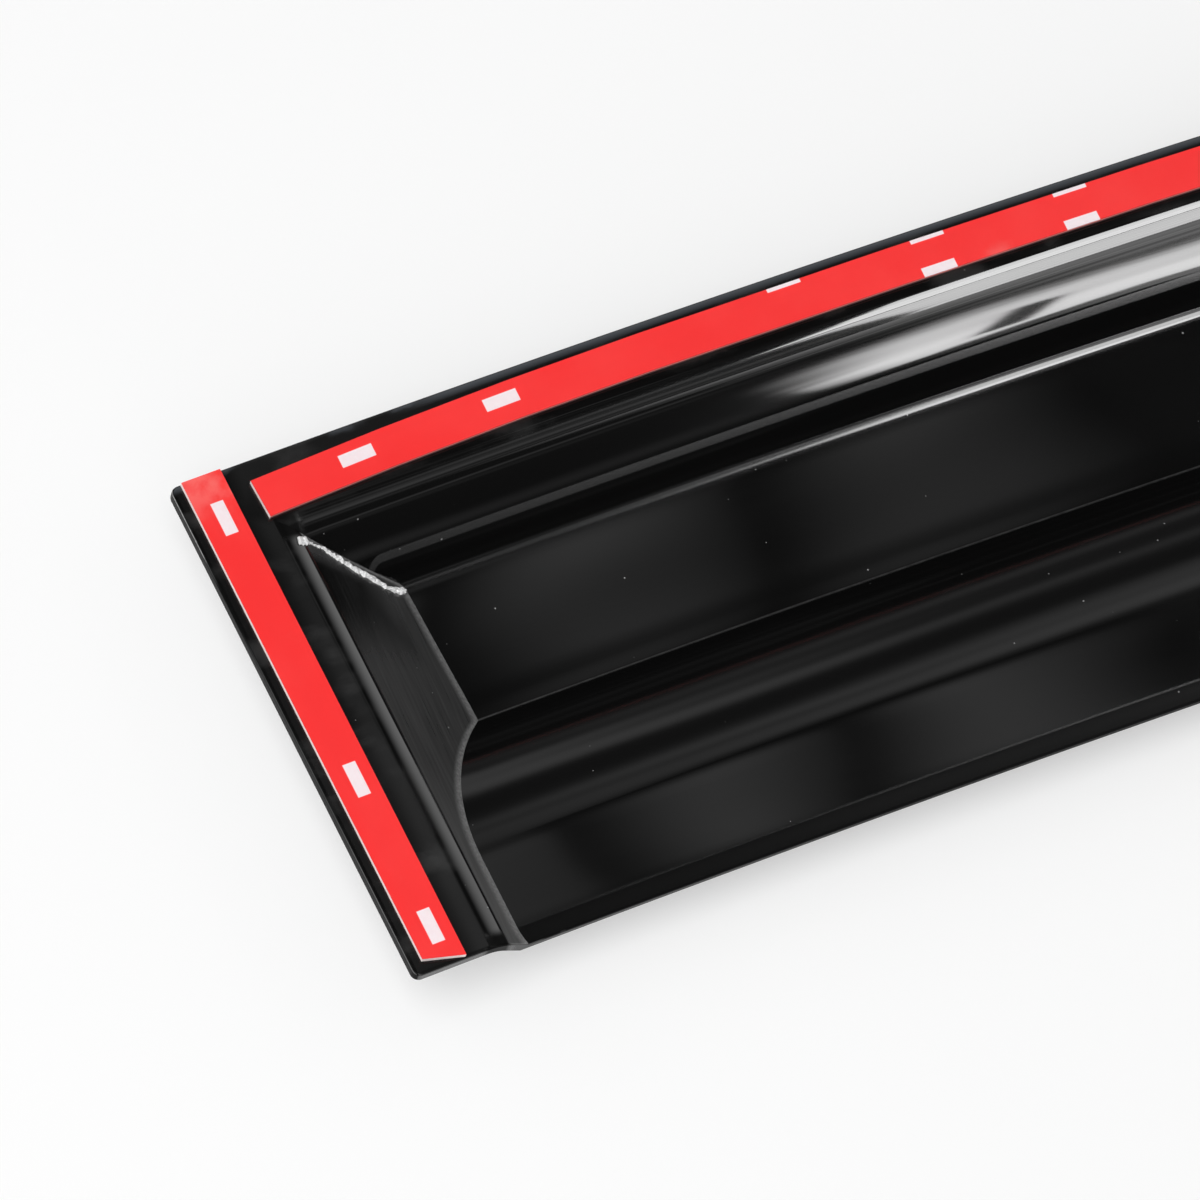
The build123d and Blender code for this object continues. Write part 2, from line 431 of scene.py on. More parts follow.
def plastic_masks(paint):
    """Masks of the moulding's parts and of the marks on them, and the brushed ends' streaks."""
    normal_x, normal_y, normal_z = paint.axes(paint.facing)
    place = paint.axes(paint.place)
    lean = paint.math("ABSOLUTE", normal_x)
    end_wall = paint.both(paint.step(lean, *END_WALL_LEAN_STEP), paint.step(normal_z, *END_WALL_RISE_STEP))
    rim = paint.step(paint.math("ABSOLUTE", normal_z), *RIM_STEP)
    low_end = paint.step(place[1], *LOW_END_STEP)
    near_foot = paint.step(paint.attribute("foot_gap"), *NEAR_FOOT_STEP)
    flange = paint.both(paint.step(place[2], *FLANGE_HEIGHT_STEP),
                        paint.step(normal_z, *FLANGE_FACING_STEP))
    crest, strip = crest_highlight_and_strip(paint, lean)
    return SimpleNamespace(
        end_wall=end_wall,
        satin=paint.either(end_wall, rim),
        low=paint.either(low_end, near_foot),
        streaks=paint.noise(BRUSH_SIZE, stretch=BRUSH_STRETCH),
        line=painted_reflection_line(paint, normal_y),
        dust=paint.either(*[dust_mask(paint, *speck) for speck in DUST_SIZES]),
        flange=flange,
        crest=crest,
        strip=strip,
        dull=dull_places(paint, lean, normal_z))


def end_painted_light_tone(paint, masks):
    """Colour of a closed end, which is brushed, with painted shade: black at the top, lighter grey lower
    down, and a painted highlight along its foot.
    """
    lowest = paint.step(paint.axes(paint.place)[1], *LOWEST_END_STEP)
    brushed = paint.tint(masks.streaks, *BRUSHED_LIT_TONES)
    brushed = paint.tint(lowest, brushed, paint.tint(masks.streaks, *LOWEST_LIT_TONES))
    foot = paint.both(masks.end_wall, paint.step(paint.attribute("foot_gap"), *FOOT_STEP))
    tone = paint.tint(masks.low, SHADED_END_TONE, brushed)
    return paint.tint(paint.both(foot, paint.noise(FOOT_HIGHLIGHT_NOISE)), tone, FOOT_HIGHLIGHT_TONE)


# Black plastic, with wiped smears on the flange
BLACK = grey(0.0035)
WIPE_SIZE = 7.0 * MM
WIPE_STRETCH = (2, 1, 1)
WIPE_STEP = (0.50, 0.72)
WIPE_TONE = grey(0.022)


def plastic_tone(paint, masks):
    """Colour of the plastic, with the marks and the dust on it, and painted shade, highlights and
    reflection.
    """
    # Closed ends take painted shade at the top and a painted highlight along the foot
    tone = paint.tint(masks.end_wall, BLACK, end_painted_light_tone(paint, masks))
    wiped = paint.step(paint.noise(WIPE_SIZE, stretch=WIPE_STRETCH, detail=6), *WIPE_STEP)
    tone = paint.tint(paint.both(masks.flange, wiped), tone, WIPE_TONE)
    # Painted reflection line on the upper wall
    tone = paint.tint(masks.line, tone, REFLECTION_LINE_TONE)
    # Painted highlight along the upper edge
    tone = paint.tint(paint.both(masks.flange, painted_edge_highlight(paint)), tone, EDGE_HIGHLIGHT_TONE)
    # Painted highlight along the crest
    tone = paint.tint(paint.both(masks.crest, paint.noise(CREST_HIGHLIGHT_NOISE, detail=4)), tone, CREST_HIGHLIGHT_TONE)
    return paint.tint(masks.dust, tone, DUST_TONE)


# Roughness of the gloss, which is smeared, and softer on the rise and in the valley
SMEAR_SIZE = 9.0 * MM
SMEAR_STRETCH = (6, 1, 1)
GLOSS_ROUGHNESS = (0.02, 0.07)
RISE_START_STEP = (CREST_RUN + 5.0 * MM, CREST_RUN + 11.0 * MM)
RISE_END_STEP = (CREST_RUN + RISE_WIDTH, CREST_RUN + RISE_WIDTH - 8.0 * MM)
RISE_ROUGHNESS = 0.13
VALLEY_HALF = 1.5 * MM
VALLEY_BLUR = 0.4 * MM
VALLEY_ROUGHNESS = 0.11
SATIN_ROUGHNESS = 0.14
BRUSHED_ROUGHNESS = (0.20, 0.265)


def plastic_roughness(paint, masks):
    """Roughness of the plastic: glossy all over, and satin on the closed ends and rims."""
    run = paint.edge_run()
    smears = paint.noise(SMEAR_SIZE, stretch=SMEAR_STRETCH, detail=4)
    rise = paint.both(paint.step(run, *RISE_START_STEP), paint.step(run, *RISE_END_STEP))
    valley = paint.within(run, VALLEY_RUN, VALLEY_HALF, VALLEY_BLUR)
    gloss = paint.blend(rise, paint.blend(smears, *GLOSS_ROUGHNESS), RISE_ROUGHNESS)
    gloss = paint.blend(valley, gloss, VALLEY_ROUGHNESS)
    satin = paint.blend(masks.low, SATIN_ROUGHNESS, paint.blend(masks.streaks, *BRUSHED_ROUGHNESS))
    rough = paint.blend(paint.either(masks.satin, masks.line), gloss, satin)
    return paint.blend(paint.either(masks.dull, masks.dust), rough, DULL_ROUGHNESS)


FULL_SHINE = 0.5


def plastic_shine(paint, masks):
    """Strength of the plastic's reflection."""
    shine = paint.blend(masks.strip, FULL_SHINE, CREST_STRIP_SHINE)
    # Painted shade beside the tapes, together with glue, as duller reflection
    shine = paint.blend(paint.both(masks.flange, tape_shade_and_glue(paint)), shine, GLUE_AND_SHADE_SHINE)
    return paint.blend(masks.dull, shine, DULL_SHINE)


WAVE_SIZE = 45.0 * MM
WAVE_STRETCH = (3, 1, 1)
WAVE_DEPTH = 0.8 * MM
SCRATCH_SIZE = 0.5 * MM
SCRATCH_STRETCH = (30, 1, 1)
SCRATCH_DEPTH = 0.0006 * MM


def plastic_relief(paint, masks):
    """Waves from moulding, fine scratches, and the brushing of the closed ends."""
    waves = paint.bump(paint.noise(WAVE_SIZE, stretch=WAVE_STRETCH, detail=1), WAVE_DEPTH)
    scratches = paint.bump(paint.noise(SCRATCH_SIZE, stretch=SCRATCH_STRETCH), SCRATCH_DEPTH, waves)
    return paint.bump(paint.both(masks.streaks, masks.satin), BRUSH_DEPTH, scratches)


PLASTIC_IOR = 1.6


def plastic_paint():
    """High-gloss black plastic, wavy from moulding and satin on the closed ends, with dust, scratches, and
    painted shade, highlights and reflection.
    """
    paint = Paint("gloss_black_plastic")
    masks = plastic_masks(paint)
    paint.set(Base_Color=plastic_tone(paint, masks), Roughness=plastic_roughness(paint, masks))
    paint.set(IOR=PLASTIC_IOR, Specular_IOR_Level=plastic_shine(paint, masks))
    paint.set(Normal=plastic_relief(paint, masks))
    return paint.material


FOAM_CELL = 0.25 * MM
FOAM_TONES = ((0.86, 0.70, 0.68), (0.93, 0.83, 0.81))
FOAM_ROUGHNESS = 0.9
FOAM_DEPTH = 0.06 * MM
# Foam on the lower side of the top tape: red staining above, with painted shade on its lower part
STAIN_FACING_STEP = (-0.6, -0.8)
STAIN_RUN_STEP = (30.0 * MM, 20.0 * MM)
SHADE_HEIGHT_STEP = (FLANGE_LEVEL + 0.35 * MM, FLANGE_LEVEL + 0.6 * MM)
STAIN_AND_SHADE_TONES = ((0.10, 0.035, 0.035), (0.92, 0.26, 0.24))


def foam_paint():
    """Pale closed-cell foam, stained red along the lower side of the top tape, with painted shade on the
    lower part of that side.
    """
    paint = Paint("pale_foam")
    distance, pick = paint.cells(FOAM_CELL)
    low_side = paint.step(paint.axes(paint.facing)[1], *STAIN_FACING_STEP)
    stained = paint.both(low_side, paint.step(paint.edge_run(), *STAIN_RUN_STEP))
    # Painted shade low on the side, red staining higher up
    stain_and_shade = paint.tint(paint.step(paint.axes(paint.place)[2], *SHADE_HEIGHT_STEP), *STAIN_AND_SHADE_TONES)
    paint.set(Base_Color=paint.tint(stained, paint.tint(pick, *FOAM_TONES), stain_and_shade))
    paint.set(Roughness=FOAM_ROUGHNESS, Normal=paint.bump(distance, FOAM_DEPTH))
    return paint.material


# Plain dashes on the films. Along the top tape they lie in its middle, then at its upper and lower sides.
MARK_LENGTH = 6.5 * MM
MARK_WIDTH = 2.4 * MM
MARK_PITCH = 28.2 * MM
MARK_PHASE = 0.887 * MARK_PITCH
MARK_BLUR = 0.08 * MM
LOWER_MARK_SLIP = -0.4 * MM
MIDDLE_MARKS_STEP = (285.0 * MM, 286.0 * MM)
MIDDLE_MARK_PLACE = 3.1 * MM
UPPER_MARKS_STEPS = ((259.0 * MM, 258.0 * MM), (172.0 * MM, 173.0 * MM))
UPPER_MARK_STEP = (0.85 * MM, 0.70 * MM)
LOWER_MARKS_STEP = (232.0 * MM, 231.0 * MM)
LOWER_MARK_STEP = (5.60 * MM, 5.75 * MM)
END_MARKS = (9.0 * MM, 62.0 * MM, 91.3 * MM)
TOP_TAPE_BEND_START = HALF_ARCH * ARCH_RADIUS - TOP_TAPE_INSET - TOP_TAPE_BEND_LENGTH
TOP_TAPE_SAG = (1 / TOP_TAPE_BEND_RADIUS - 1 / ARCH_RADIUS) / 2


def top_marks(paint):
    """Mask of the plain dashes on the top tape, which drift across it and are cut off by its sides."""
    along = paint.arch_run()
    past_bend = paint.math("MAXIMUM", paint.math("SUBTRACT", along, TOP_TAPE_BEND_START), 0.0)
    sag = paint.math("MULTIPLY", paint.math("POWER", past_bend, 2.0), TOP_TAPE_SAG)
    below = paint.math("SUBTRACT", paint.edge_run(), paint.math("ADD", sag, TOP_TAPE_MARGIN))

    def dashes(slip):
        turned = paint.math("MODULO", paint.math("ADD", along, MARK_PHASE + slip), MARK_PITCH)
        return paint.within(turned, MARK_PITCH / 2, MARK_LENGTH / 2, MARK_BLUR)

    middle = paint.both(paint.step(along, *MIDDLE_MARKS_STEP),
                        paint.within(below, MIDDLE_MARK_PLACE, MARK_WIDTH / 2, MARK_BLUR))
    upper_part = [paint.step(along, *step) for step in UPPER_MARKS_STEPS]
    upper = paint.both(paint.step(below, *UPPER_MARK_STEP), *upper_part)
    lower = paint.both(paint.step(below, *LOWER_MARK_STEP), paint.step(along, *LOWER_MARKS_STEP))
    upper_row = paint.both(dashes(0.0), paint.either(middle, upper))
    return paint.either(upper_row, paint.both(dashes(LOWER_MARK_SLIP), lower))


def end_marks(paint):
    """Mask of the plain dashes on an end tape."""
    down = paint.end_drop()
    dashes = [paint.within(down, place, MARK_LENGTH / 2, MARK_BLUR) for place in END_MARKS]
    across = paint.within(paint.end_run(), END_TAPE_MIDDLE, MARK_WIDTH / 2, MARK_BLUR)
    return paint.both(paint.either(*dashes), across)


WORN_DOWN_STEP = (11.0 * MM, 2.0 * MM)
WORN_INWARD_STEP = (12.5 * MM, 12.0 * MM)
WORN_PATCH = 4.0 * MM
WORN_PATCH_STEP = (0.30, 0.62)


def worn_end(paint):
    """Mask of the worn upper end of an end tape."""
    at_end = paint.both(paint.step(paint.end_drop(), *WORN_DOWN_STEP),
                        paint.step(paint.end_run(), *WORN_INWARD_STEP))
    return paint.both(at_end, paint.step(paint.noise(WORN_PATCH, detail=4), *WORN_PATCH_STEP))


FILM_TONES = ((0.93, 0.021, 0.021), (0.95, 0.032, 0.031))
FILM_PATCH = 12.0 * MM
FILM_PATCH_STEP = (0.35, 0.75)
FADED_TONE = (0.95, 0.13, 0.12)
FADED_PATCH = 16.0 * MM
FADED_STEP = (0.64, 0.86)
INK_TONES = ((0.90, 0.74, 0.77), (0.93, 0.84, 0.87))
INK_GRAIN = 0.8 * MM
FILM_ROUGHNESS = (0.34, 0.46)
FILM_GRAIN = 2.0 * MM
FILM_SHINE = 0.3
FILM_RIPPLE = 8.0 * MM
FILM_DEPTH = 0.05 * MM


def film_paint(name, marks):
    """Red release film with a faint mottle, shallow ripples and plain white printed dashes."""
    paint = Paint(name)
    mottle = paint.step(paint.noise(FILM_PATCH, detail=4), *FILM_PATCH_STEP)
    faded = paint.step(paint.noise(FADED_PATCH, detail=5), *FADED_STEP)
    film = paint.tint(paint.either(faded, worn_end(paint)), paint.tint(mottle, *FILM_TONES), FADED_TONE)
    ink = paint.tint(paint.noise(INK_GRAIN, detail=3), *INK_TONES)
    paint.set(Base_Color=paint.tint(marks(paint), film, ink))
    paint.set(Roughness=paint.blend(paint.noise(FILM_GRAIN), *FILM_ROUGHNESS))
    paint.set(Specular_IOR_Level=FILM_SHINE)
    paint.set(Normal=paint.bump(paint.noise(FILM_RIPPLE, detail=3), FILM_DEPTH))
    return paint.material


CRAZED_CELL = 0.35 * MM
GLINT_STEP = (0.2, 0.8)
GLINT_TONES = (grey(0.80), grey(0.98))
CRAZED_ROUGHNESS = (0.2, 0.5)
CRAZED_DEPTH = 0.12 * MM


def glint_bead_paint():
    """Pale plastic painted bright as a highlight for the glints of a rough corner, with broken facets."""
    paint = Paint("glint_painted_plastic")
    distance, pick = paint.cells(CRAZED_CELL)
    paint.set(Base_Color=paint.tint(paint.step(pick, *GLINT_STEP), *GLINT_TONES))
    paint.set(Roughness=paint.blend(pick, *CRAZED_ROUGHNESS))
    paint.set(Normal=paint.bump(distance, CRAZED_DEPTH))
    return paint.material


FLOOR_TONES = (grey(0.94), grey(0.95))
FLOOR_PATCH = 60.0 * MM
FLOOR_ROUGHNESS = 0.9
FLOOR_SHINE = 0.1
FLOOR_WHITE = 0.45


def floor_paint():
    """Plain pale studio floor that looks partly white by itself, so the shadow on it stays light."""
    paint = Paint("pale_floor")
    paint.set(Base_Color=paint.tint(paint.noise(FLOOR_PATCH), *FLOOR_TONES))
    paint.set(Roughness=FLOOR_ROUGHNESS, Specular_IOR_Level=FLOOR_SHINE)
    nodes = paint.tree.nodes
    path = nodes.new("ShaderNodeLightPath").outputs
    seen = paint.either(path["Is Camera Ray"], path["Is Glossy Ray"], path["Is Transmission Ray"])
    white = nodes.new("ShaderNodeEmission")
    mix = nodes.new("ShaderNodeMixShader")
    paint.feed(mix.inputs[0], paint.math("MULTIPLY", seen, FLOOR_WHITE))
    paint.feed(mix.inputs[1], paint.shader.outputs[0])
    paint.feed(mix.inputs[2], white.outputs[0])
    paint.feed(nodes["Material Output"].inputs["Surface"], mix.outputs[0])
    return paint.material


# Section of the moulding, with distances from the upper edge and heights over the flange
def spread(first, last, count):
    """Values from first to last in even steps, without the first."""
    return [first + (last - first) * step / count for step in range(1, count + 1)]


def polar(centre, radius, lean):
    """Point on a circle, where lean is the angle from straight up."""
    return centre + Vector((math.sin(lean), math.cos(lean))) * radius


def turned_arc(centre, first, last, count):
    """Points of the short arc about centre from one point to another, without the first."""
    start, end = first - centre, last - centre
    begin = math.atan2(start.x, start.y)
    turn = (math.atan2(end.x, end.y) - begin + math.pi) % (2 * math.pi) - math.pi
    return [polar(centre, start.length, begin + share) for share in spread(0, turn, count)]


def downhill(angle):
    """Direction of a surface that falls at angle as it leaves the upper edge."""
    return Vector((math.cos(angle), -math.sin(angle)))


def upward(angle):
    """Direction away from such a surface, on the tape side."""
    return Vector((math.sin(angle), math.cos(angle)))


class Shoulder:
    """Bend from the flange down into a wall, on the surface that lies some way under the tape side."""

    def __init__(self, corner, angle, radius, under):
        level = radius * math.cos(SHOULDER_CREASE)
        self.centre = Vector((corner + level / math.tan(angle) - radius / math.sin(angle), -level))
        self.radius = radius - under
        self.angle = angle
        crease = math.acos((level - under) / self.radius)
        self.start = polar(self.centre, self.radius, crease)
        self.end = polar(self.centre, self.radius, angle)

    def arc(self, count):
        """Points of the bend, without the first."""
        return turned_arc(self.centre, self.start, self.end, count)

    def run(self, depth):
        """How far from the edge the bend or its wall has reached at a depth."""
        if depth >= -self.end.y:
            return self.end.x + (depth + self.end.y) / math.tan(self.angle)
        lean = math.acos(min(1.0, (-self.centre.y - depth) / self.radius))
        return self.centre.x + self.radius * math.sin(lean)


def upper_shoulder(under):
    """Bend between the upper flange and the upper wall."""
    return Shoulder(FLANGE_WIDTH, UPPER_WALL_ANGLE, SHOULDER_RADIUS, under)


def end_shoulder(under):
    """Bend between an end flange and its end wall."""
    return Shoulder(END_FLANGE_WIDTH, END_WALL_ANGLE, END_SHOULDER_RADIUS, under)


# Distances in from a rounded edge, and from a bend's crease, at which the mesh has points
EDGE_STEPS = [run * MM for run in (0.06, 0.15, 0.27, 0.4, 0.7, 1.0, 1.25, 1.5)]
CREASE_STEP = 0.15 * MM

# Numbers of mesh steps over each part of the section, and how far the upper wall bows
FLANGE_COUNT = 6
SHOULDER_COUNT = 16
WALL_COUNT = 20
VALLEY_COUNT = 10
BAND_COUNT = 10
CREST_COUNT = 6
RISE_COUNT = 22
SKIRT_COUNT = 8
LIP_COUNT = 5
WALL_BOW = 0.35 * MM


def flange_steps(last):
    """Distances over a flange, close together at its rounded edge and next to its bend."""
    return [0.0, *EDGE_STEPS, *spread(EDGE_STEPS[-1], last - CREASE_STEP, FLANGE_COUNT), last]


def lip_drop(run):
    """How far the skirt's lip has bent down at a distance from the upper edge."""
    radius = (LIP_WIDTH**2 + LIP_DROP**2) / (2 * LIP_DROP)
    return radius - math.sqrt(radius**2 - (run - WIDTH + LIP_WIDTH)**2)


def section(under):
    """Points across the moulding from its upper to its lower edge, on a surface under the tape side."""
    bend = upper_shoulder(under)
    points = [Vector((run, -under)) for run in flange_steps(bend.start.x)]
    points += bend.arc(SHOULDER_COUNT)[:-1]

    # Upper wall, a little bowed on the tape side, and the rounded valley at its foot
    band_angle = math.atan2(CREST_DEPTH - VALLEY_DEPTH, BAND_WIDTH)
    wall_down, wall_up = downhill(UPPER_WALL_ANGLE), upward(UPPER_WALL_ANGLE)
    band_down, band_up = downhill(band_angle), upward(band_angle)
    sharp_valley = Vector((VALLEY_RUN, -VALLEY_DEPTH))
    valley = sharp_valley - (wall_up + band_up) * (under / (1 + wall_up.dot(band_up)))
    round_valley = VALLEY_RADIUS + under
    reach = round_valley * math.tan((UPPER_WALL_ANGLE - band_angle) / 2)
    wall_end, band_start = valley - wall_down * reach, valley + band_down * reach
    bow = WALL_BOW if under == 0 else 0.0
    wall_start = points[-1]
    for share in spread(0, 1, WALL_COUNT):
        points.append(wall_start.lerp(wall_end, share) + wall_up * bow * math.sin(math.pi * share))
    points += turned_arc(wall_end + wall_up * round_valley, wall_end, band_start, VALLEY_COUNT)

    # The rise is an arc that leaves the band at the crest and runs level into the skirt
    drop = CREST_DEPTH - SKIRT_DEPTH
    rise_radius = (RISE_WIDTH**2 + drop**2) / (2 * drop)
    rise_centre = Vector((sharp_valley.x + BAND_WIDTH + RISE_WIDTH, -SKIRT_DEPTH - rise_radius))
    rise_radius -= under
    round_crest = CREST_RADIUS + under
    to_centre = rise_centre - valley - band_up * round_crest
    half_chord = math.sqrt((rise_radius + round_crest)**2 - to_centre.dot(band_up)**2)
    band_end = valley + band_down * (to_centre.dot(band_down) - half_chord)
    crest_centre = band_end + band_up * round_crest
    rise_start = rise_centre + (crest_centre - rise_centre).normalized() * rise_radius
    skirt_start = polar(rise_centre, rise_radius, 0.0)
    points += [band_start.lerp(band_end, share) for share in spread(0, 1, BAND_COUNT)]
    points += turned_arc(crest_centre, band_end, rise_start, CREST_COUNT)
    points += turned_arc(rise_centre, rise_start, skirt_start, RISE_COUNT)

    # Skirt, with a lip that bends down on the tape side
    lip_start = WIDTH - LIP_WIDTH
    points += [Vector((run, skirt_start.y)) for run in spread(skirt_start.x, lip_start, SKIRT_COUNT)]
    lip_runs = spread(lip_start, WIDTH - EDGE_STEPS[-1], LIP_COUNT)
    lip_runs += [WIDTH - step for step in reversed(EDGE_STEPS[:-1])] + [WIDTH]
    for run in lip_runs:
        points.append(Vector((run, skirt_start.y - (lip_drop(run) if under == 0 else 0.0))))
    return points


# Places on the part
def on_arch(edge_run, lean, height):
    """Point at a distance from the arched upper edge, at a lean of the arch's radius."""
    radius = ARCH_RADIUS - edge_run
    return Vector((radius * math.sin(lean), ARCH_CENTRE_Y + radius * math.cos(lean), height))


def end_lean(end_run, edge_run):
    """Lean of the arch's radius at a distance from the left end edge and from the arched upper edge."""
    return math.asin(end_run / (ARCH_RADIUS - edge_run)) - HALF_ARCH


def from_edges(end_run, edge_run, height):
    """Point at a distance from the left end edge and from the arched upper edge."""
    return on_arch(edge_run, end_lean(end_run, edge_run), height)


def mitre_point(depth):
    """Point of the left corner's mitre line, where the end wall meets the upper wall."""
    return from_edges(end_shoulder(0).run(depth), upper_shoulder(0).run(depth), FLANGE_LEVEL - depth)


def edge_drop(inset):
    """How far the flange's rounded edge has dropped, at a distance inside the outline."""
    if inset >= EDGE_RADIUS:
        return 0.0
    return EDGE_RADIUS - math.sqrt(EDGE_RADIUS**2 - (EDGE_RADIUS - inset)**2)


def soft_corner(end_run, edge_run):
    """The same place with the outline's square corners rounded."""
    low_side = edge_run > WIDTH / 2
    near = WIDTH - edge_run if low_side else edge_run
    if end_run < CORNER_RADIUS and near < CORNER_RADIUS:
        inwards = Vector((CORNER_RADIUS - end_run, CORNER_RADIUS - near))
        inwards *= max(inwards) / inwards.length
        end_run, near = CORNER_RADIUS - inwards.x, CORNER_RADIUS - inwards.y
    return end_run, WIDTH - near if low_side else near


# Pieces
def piece(name, mesh, material):
    """A new object on the part."""
    mesh.materials.append(material)
    made = bpy.data.objects.new(name, mesh)
    bpy.context.scene.collection.objects.link(made)
    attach(made, "root")
    return made


# Numbers of mesh steps over an end's bend, its wall, and the moulding's length between the ends
END_SHOULDER_COUNT = 12
END_WALL_COUNT = 16
LONG_COUNT = 200


def shell_side(under):
    """Grid of points on one side of the moulding: rows across its section, each from end to end.

    Each point comes with its height over the part of the section that its row belongs to.
    """
    rows = section(under)
    end = end_shoulder(under)
    deepest = max(-point.y for point in rows)
    depths = [-point.y for point in end.arc(END_SHOULDER_COUNT)]
    depths += spread(-end.end.y, deepest, END_WALL_COUNT)
    grid = []
    for point in rows:
        places = [(run, under) for run in flange_steps(end.start.x)]
        places += [(end.run(min(depth, -point.y)), min(depth, -point.y)) for depth in depths]
        left = []
        for end_run, depth in places:
            inset = max(0.0, min(end_run, point.x, WIDTH - point.x))
            height = FLANGE_LEVEL - depth - (edge_drop(inset) if under == 0 else 0.0)
            left.append((from_edges(*soft_corner(end_run, point.x), height), -point.y - depth))
        first = end_lean(places[-1][0], point.x)
        leans = spread(first, -first, LONG_COUNT)[:-1]
        middle = [(on_arch(point.x, lean, left[-1][0].z), 0.0) for lean in leans]
        right = [(Vector((-spot.x, spot.y, spot.z)), gap) for spot, gap in reversed(left)]
        grid.append(left + middle + right)
    return grid


def shell_sheets():
    """Grids of points that close the moulding: its tape side, its outer side and the rim between them."""
    tape_side, outer_side = shell_side(0.0), shell_side(WALL)
    sheets = [tape_side, [list(reversed(row)) for row in outer_side]]
    sheets += [[tape_side[0], outer_side[0]], [outer_side[-1], tape_side[-1]]]
    sheets += [[[row[0] for row in outer_side], [row[0] for row in tape_side]]]
    sheets += [[[row[-1] for row in tape_side], [row[-1] for row in outer_side]]]
    return sheets


PLACE_DIGITS = 8
SHARP_ANGLE = math.radians(28)


def visor_shell():
    """Mesh of the whole moulding, whose points carry their height over the end wall's foot."""
    places, gaps, faces = {}, [], []

    def number(spot, gap):
        key = tuple(round(value, PLACE_DIGITS) for value in spot)
        if key not in places:
            places[key] = len(places)
            gaps.append(gap)
        return places[key]

    for sheet in shell_sheets():
        numbers = [[number(spot, gap) for spot, gap in row] for row in sheet]
        for upper, lower in zip(numbers, numbers[1:]):
            for count in range(len(upper) - 1):
                corners = (lower[count], lower[count + 1], upper[count + 1], upper[count])
                face = list(dict.fromkeys(corners))
                if len(face) > 2:
                    faces.append(face)
    mesh = bpy.data.meshes.new("visor_shell")
    mesh.from_pydata(list(places), [], faces)
    mesh.validate()
    mesh.attributes.new("foot_gap", "FLOAT", "POINT").data.foreach_set("value", gaps)
    mesh.shade_smooth()
    mesh.set_sharp_from_angle(angle=SHARP_ANGLE)
    return mesh


# Beads along the mitres, with half widths and shifts down in millimetres at shares of their length
BEAD_STEPS = 260
BEAD_SIDES = 10
BEAD_START = 0.7 * MM
BEAD_END = 14.7 * MM
BEAD_WIDTHS = ((0.0, 0.75), (0.04, 0.85), (0.08, 0.40), (0.12, 0.22), (0.21, 0.24), (0.28, 0.42),
               (0.45, 0.48), (0.60, 0.62), (0.70, 0.58), (0.82, 0.40), (0.94, 0.70), (1.0, 0.70))
BEAD_SHIFTS = ((0.0, 2.7), (0.04, 2.0), (0.09, 1.5), (0.16, 1.1), (0.24, 1.0), (0.38, 1.8),
               (0.52, 2.3), (0.66, 2.5), (0.81, 2.9), (0.95, 2.2), (1.0, 1.5))
BEAD_JAG = 0.34 * MM
BEAD_JAG_SCALE = 1800
BEAD_JAG_SHIFT = 7
BEAD_SEED = 3


def between(table, share):
    """Value of a table of (share, value) rows at a share, along straight lines."""
    for (low, first), (high, last) in zip(table, table[1:]):
        if share <= high:
            return first + (last - first) * (share - low) / (high - low)
    return table[-1][1]


def bead_path():
    """Points along the left corner's bead."""
    path = []
    for step, depth in enumerate([BEAD_START, *spread(BEAD_START, BEAD_END, BEAD_STEPS)]):
        shift = between(BEAD_SHIFTS, step / BEAD_STEPS) * MM
        path.append(mitre_point(depth) + END_DOWN * shift)
    return path


def mitre_bead(name, side):
    """Jagged bead along a corner's mitre line, painted pale as a highlight for the corner's glints."""
    noise.seed_set(BEAD_SEED)
    work = bmesh.new()
    path = bead_path()
    rings = []
    for step, middle in enumerate(path):
        ahead = path[min(step + 1, BEAD_STEPS)] - path[max(step - 1, 0)]
        turn = ahead.to_track_quat("Z", "Y")
        width = between(BEAD_WIDTHS, step / BEAD_STEPS) * MM
        ring = []
        for count in range(BEAD_SIDES):
            angle = 2 * math.pi * count / BEAD_SIDES
            spot = middle + turn @ (Vector((math.cos(angle), math.sin(angle), 0)) * width)
            jag_place = spot * BEAD_JAG_SCALE + Vector((side * BEAD_JAG_SHIFT, 0, 0))
            spot += noise.noise_vector(jag_place) * BEAD_JAG
            ring.append(work.verts.new((spot.x * -side, spot.y, spot.z)))
        rings.append(ring)
    for first, last in zip(rings, rings[1:]):
        for count in range(BEAD_SIDES):
            follow = (count + 1) % BEAD_SIDES
            work.faces.new((first[count], first[follow], last[follow], last[count]))
    work.faces.new(rings[0])
    work.faces.new(rings[-1])
    bmesh.ops.recalc_face_normals(work, faces=work.faces)
    mesh = bpy.data.meshes.new(name)
    work.to_mesh(mesh)
    work.free()
    return mesh


def dress(node, material):
    """Gives a CAD node its finish."""
    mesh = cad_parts[node].data
    mesh.materials.clear()
    mesh.materials.append(material)


# Studio: lamp, reflection cards, surroundings, floor and camera
KEY_PLACE = Vector((-0.95, -0.25, 1.5))
KEY_TARGET = Vector((-0.25, 0, 0))
KEY_SIZE = 0.9
KEY_POWER = 14.256


def key_lamp():
    """Square soft lamp above the photographed end."""
    lamp = bpy.data.lights.new("key", "AREA")
    lamp.size = KEY_SIZE
    lamp.energy = KEY_POWER
    made = bpy.data.objects.new("key", lamp)
    made.location = KEY_PLACE
    made.rotation_euler = (KEY_TARGET - KEY_PLACE).to_track_quat("-Z", "Y").to_euler()
    made.visible_camera = False
    bpy.context.scene.collection.objects.link(made)


# Streaks on the cards, and the count of reflections above which a card is dark
STREAK_SIZE = 0.05
STREAK_STRETCH = (8, 1, 1)
STREAK_STEP = (0.3, 0.7)
STREAK_REACH = 0.08
FIRST_REFLECTION_STEP = (1.6, 1.4)


